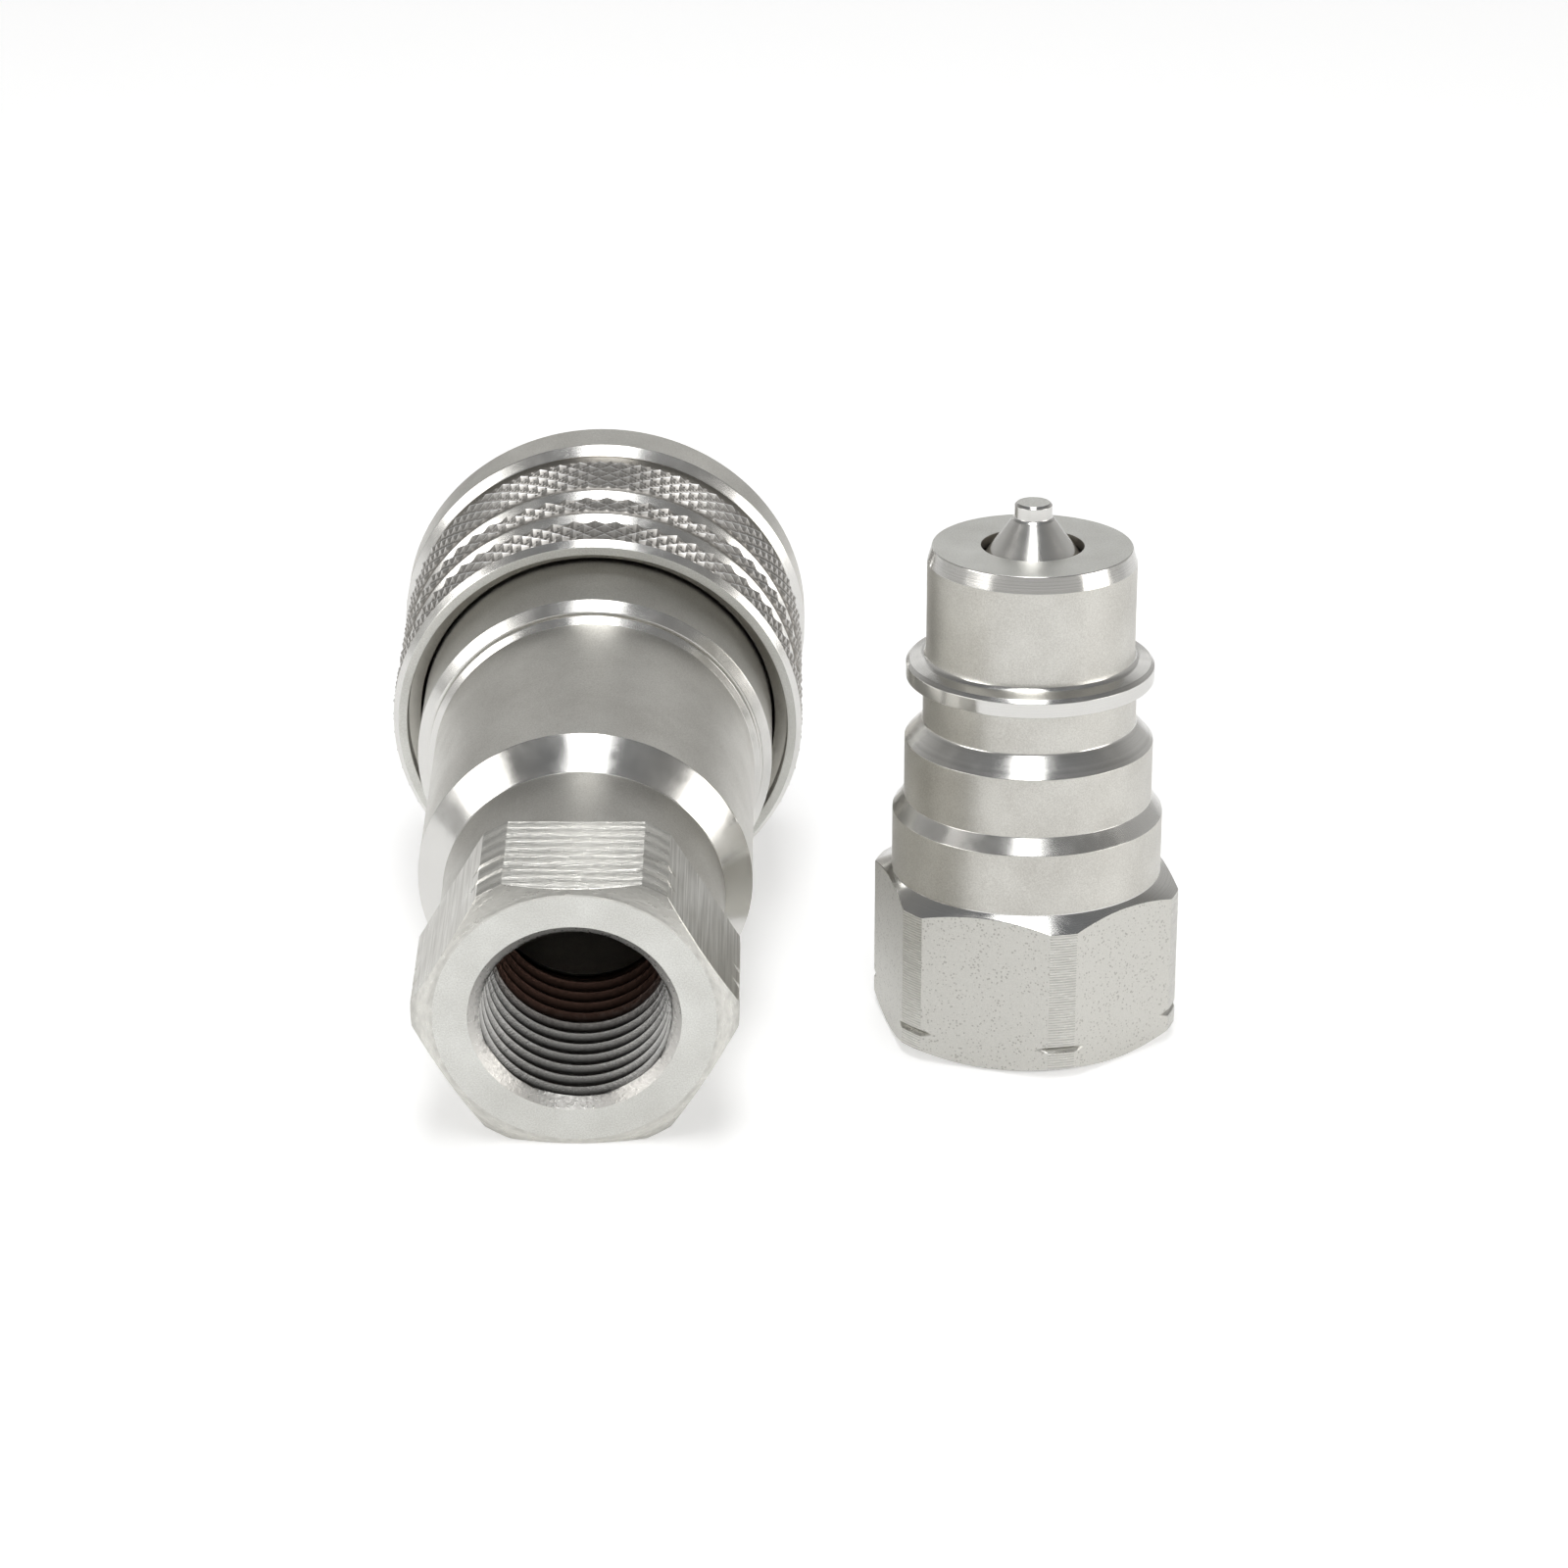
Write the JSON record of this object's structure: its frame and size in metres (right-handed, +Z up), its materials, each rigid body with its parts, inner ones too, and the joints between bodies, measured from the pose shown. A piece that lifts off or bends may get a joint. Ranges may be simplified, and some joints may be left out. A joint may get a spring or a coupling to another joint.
{
  "type": "quick disconnect coupler",
  "caption": "Uncoupled hydraulic quick disconnect coupler: threaded socket with knurled ball-lock sleeve and poppet valve, and its threaded plug.",
  "frame": {"origin": "bottom centre of the box round both halves, on the surface they stand and lie on", "axes": "+Z up along the plug's axis; +Y along the socket, from its hexagon towards its mouth; +X from the socket towards the plug"},
  "size_m": [0.0808, 0.0902, 0.0547],
  "materials": {
    "turned_steel": "satin zinc-nickel plate over turned steel",
    "knurled_steel": "satin plate over diamond knurl",
    "polished_steel": "bright turned steel",
    "spring_steel": "drawn spring wire",
    "ball_steel": "ground and polished bearing ball",
    "black_rubber": "matt moulded nitrile rubber",
    "white_plastic": "matt fluoropolymer"
  },
  "bodies": {
    "socket": {"socket_adaptor": "turned_steel", "socket_body": "turned_steel", "sleeve_stop_ring": "spring_steel", "sleeve_spring": "spring_steel", "joint_seal": "black_rubber", "nose_seal": "black_rubber", "nose_backup_ring": "white_plastic", "socket_valve_spring": "spring_steel", "socket_stem_guide": "polished_steel", "socket_guide_ring": "spring_steel"},
    "sleeve": {"locking_sleeve": "knurled_steel"},
    "socket_poppet": {"socket_poppet": "polished_steel", "socket_poppet_seal": "black_rubber"},
    "plug": {"plug_body": "turned_steel", "plug_valve_spring": "spring_steel", "plug_stem_guide": "polished_steel", "plug_guide_ring": "spring_steel"},
    "plug_poppet": {"plug_poppet": "polished_steel", "plug_poppet_seal": "black_rubber"},
    "locking_ball_1": {"locking_ball_1": "ball_steel"},
    "locking_ball_2": {"locking_ball_2": "ball_steel"},
    "locking_ball_3": {"locking_ball_3": "ball_steel"},
    "locking_ball_4": {"locking_ball_4": "ball_steel"},
    "locking_ball_5": {"locking_ball_5": "ball_steel"},
    "locking_ball_6": {"locking_ball_6": "ball_steel"},
    "locking_ball_7": {"locking_ball_7": "ball_steel"},
    "locking_ball_8": {"locking_ball_8": "ball_steel"}
  },
  "joints": [
    {"name": "sleeve_slide", "type": "slide", "parent": "socket", "child": "sleeve", "axis": [0, -0.9917, -0.1282], "range_m": [0, 0.006], "stiffness_N_per_m": 2500, "springref_m": -0.004, "deforming": ["sleeve_spring"]},
    {"name": "socket_poppet_slide", "type": "slide", "parent": "socket", "child": "socket_poppet", "axis": [0, -0.9917, -0.1282], "range_m": [0, 0.005], "stiffness_N_per_m": 1500, "springref_m": -0.004, "deforming": ["socket_valve_spring"]},
    {"name": "plug_lift", "type": "slide", "parent": "socket", "child": "plug", "axis": [0, 0, 1], "range_m": [0, 0.08]},
    {"name": "plug_poppet_slide", "type": "slide", "parent": "plug", "child": "plug_poppet", "axis": [0, 0, -1], "range_m": [0, 0.005], "stiffness_N_per_m": 1500, "springref_m": -0.004, "deforming": ["plug_valve_spring"]},
    {"name": "ball_1_release", "type": "slide", "parent": "socket", "child": "locking_ball_1", "axis": [1, 0, 0], "range_m": [0, 0.00173]},
    {"name": "ball_2_release", "type": "slide", "parent": "socket", "child": "locking_ball_2", "axis": [0.7071, 0.0906, -0.7013], "range_m": [0, 0.00173]},
    {"name": "ball_3_release", "type": "slide", "parent": "socket", "child": "locking_ball_3", "axis": [0, 0.1282, -0.9917], "range_m": [0, 0.00173]},
    {"name": "ball_4_release", "type": "slide", "parent": "socket", "child": "locking_ball_4", "axis": [-0.7071, 0.0906, -0.7013], "range_m": [0, 0.00173]},
    {"name": "ball_5_release", "type": "slide", "parent": "socket", "child": "locking_ball_5", "axis": [-1, 0, 0], "range_m": [0, 0.00173]},
    {"name": "ball_6_release", "type": "slide", "parent": "socket", "child": "locking_ball_6", "axis": [-0.7071, -0.0906, 0.7013], "range_m": [0, 0.00173]},
    {"name": "ball_7_release", "type": "slide", "parent": "socket", "child": "locking_ball_7", "axis": [0, -0.1282, 0.9917], "range_m": [0, 0.00173]},
    {"name": "ball_8_release", "type": "slide", "parent": "socket", "child": "locking_ball_8", "axis": [0.7071, -0.0906, 0.7013], "range_m": [0, 0.00173]}
  ],
  "couplings": [
    {"joint": "ball_1_release", "follows": "sleeve_slide", "ratio": 0.28833},
    {"joint": "ball_2_release", "follows": "sleeve_slide", "ratio": 0.28833},
    {"joint": "ball_3_release", "follows": "sleeve_slide", "ratio": 0.28833},
    {"joint": "ball_4_release", "follows": "sleeve_slide", "ratio": 0.28833},
    {"joint": "ball_5_release", "follows": "sleeve_slide", "ratio": 0.28833},
    {"joint": "ball_6_release", "follows": "sleeve_slide", "ratio": 0.28833},
    {"joint": "ball_7_release", "follows": "sleeve_slide", "ratio": 0.28833},
    {"joint": "ball_8_release", "follows": "sleeve_slide", "ratio": 0.28833}
  ]
}
